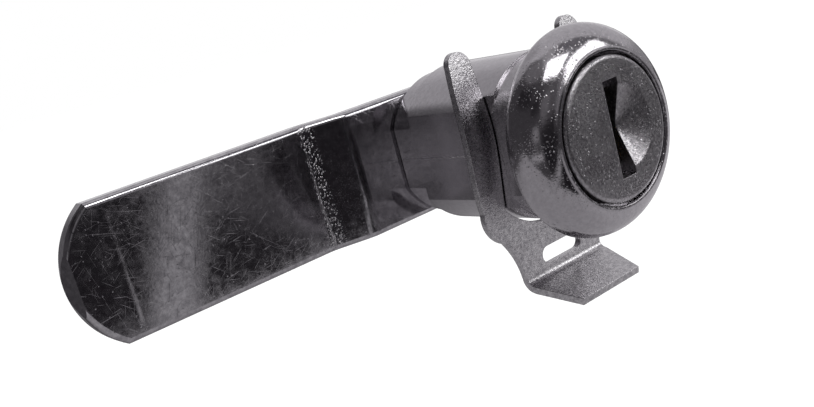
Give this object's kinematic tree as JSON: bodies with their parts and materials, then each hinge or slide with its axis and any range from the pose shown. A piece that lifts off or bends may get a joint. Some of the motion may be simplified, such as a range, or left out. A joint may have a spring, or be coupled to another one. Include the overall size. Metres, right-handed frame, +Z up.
{
  "type": "cranked cam lock",
  "caption": "Domed-head cam lock with a long cranked cam on its keyed plug, two-flat body for a panel hole, and a horseshoe spring clip with a pull tab.",
  "frame": {"origin": "on the lock's axis, in the plane of the underside of the head, which rests on the panel's front", "axes": "+Y along the axis to the rear, into the cabinet; the head faces -Y; +Z up; the cam points to -X"},
  "size_m": [0.0615, 0.0329, 0.03],
  "materials": {
    "housing_chrome": "plated, bright",
    "plug_satin": "cast, satin nickel",
    "cam_steel": "polished, zinc plated",
    "clip_steel": "spring steel, grainy zinc",
    "screw_steel": "zinc plated",
    "washer_steel": "zinc plated",
    "wafer_brass": "stamped",
    "spring_steel": "wire"
  },
  "bodies": {
    "lock_body": {"housing": "housing_chrome"},
    "turning_plug": {"plug": "plug_satin", "cam": "cam_steel", "lock_washer": "washer_steel", "cam_screw": "screw_steel", "retaining_wafer_spring": "spring_steel", "wafer_spring_1": "spring_steel", "wafer_spring_2": "spring_steel", "wafer_spring_3": "spring_steel", "wafer_spring_4": "spring_steel", "wafer_spring_5": "spring_steel", "wafer_spring_6": "spring_steel", "wafer_spring_7": "spring_steel"},
    "wafer_1": {"wafer_1": "wafer_brass"},
    "wafer_2": {"wafer_2": "wafer_brass"},
    "wafer_3": {"wafer_3": "wafer_brass"},
    "wafer_4": {"wafer_4": "wafer_brass"},
    "wafer_5": {"wafer_5": "wafer_brass"},
    "wafer_6": {"wafer_6": "wafer_brass"},
    "wafer_7": {"wafer_7": "wafer_brass"},
    "retaining_wafer": {"retaining_wafer": "wafer_brass"},
    "clip": {"horseshoe_clip": "clip_steel"}
  },
  "joints": [
    {"name": "turn", "type": "hinge", "parent": "lock_body", "child": "turning_plug", "pos_m": [0, 0, 0], "axis": [0, 1, 0], "range_deg": [0, 90]},
    {"name": "wafer_1_slide", "type": "slide", "parent": "turning_plug", "child": "wafer_1", "axis": [0, 0, 1], "range_m": [0, 0.0006], "deforming": ["wafer_spring_1"]},
    {"name": "wafer_2_slide", "type": "slide", "parent": "turning_plug", "child": "wafer_2", "axis": [0, 0, -1], "range_m": [0, 0.0006], "deforming": ["wafer_spring_2"]},
    {"name": "wafer_3_slide", "type": "slide", "parent": "turning_plug", "child": "wafer_3", "axis": [0, 0, 1], "range_m": [0, 0.0006], "deforming": ["wafer_spring_3"]},
    {"name": "wafer_4_slide", "type": "slide", "parent": "turning_plug", "child": "wafer_4", "axis": [0, 0, -1], "range_m": [0, 0.0006], "deforming": ["wafer_spring_4"]},
    {"name": "wafer_5_slide", "type": "slide", "parent": "turning_plug", "child": "wafer_5", "axis": [0, 0, 1], "range_m": [0, 0.0006], "deforming": ["wafer_spring_5"]},
    {"name": "wafer_6_slide", "type": "slide", "parent": "turning_plug", "child": "wafer_6", "axis": [0, 0, -1], "range_m": [0, 0.0006], "deforming": ["wafer_spring_6"]},
    {"name": "wafer_7_slide", "type": "slide", "parent": "turning_plug", "child": "wafer_7", "axis": [0, 0, 1], "range_m": [0, 0.0006], "deforming": ["wafer_spring_7"]},
    {"name": "retaining_wafer_slide", "type": "slide", "parent": "turning_plug", "child": "retaining_wafer", "axis": [0, 0, -1], "range_m": [0, 0.00065], "stiffness_N_per_m": 200, "springref_m": -0.001, "deforming": ["retaining_wafer_spring"]},
    {"name": "clip_pull", "type": "slide", "parent": "lock_body", "child": "clip", "axis": [0, 0, -1], "range_m": [0, 0.022]}
  ]
}
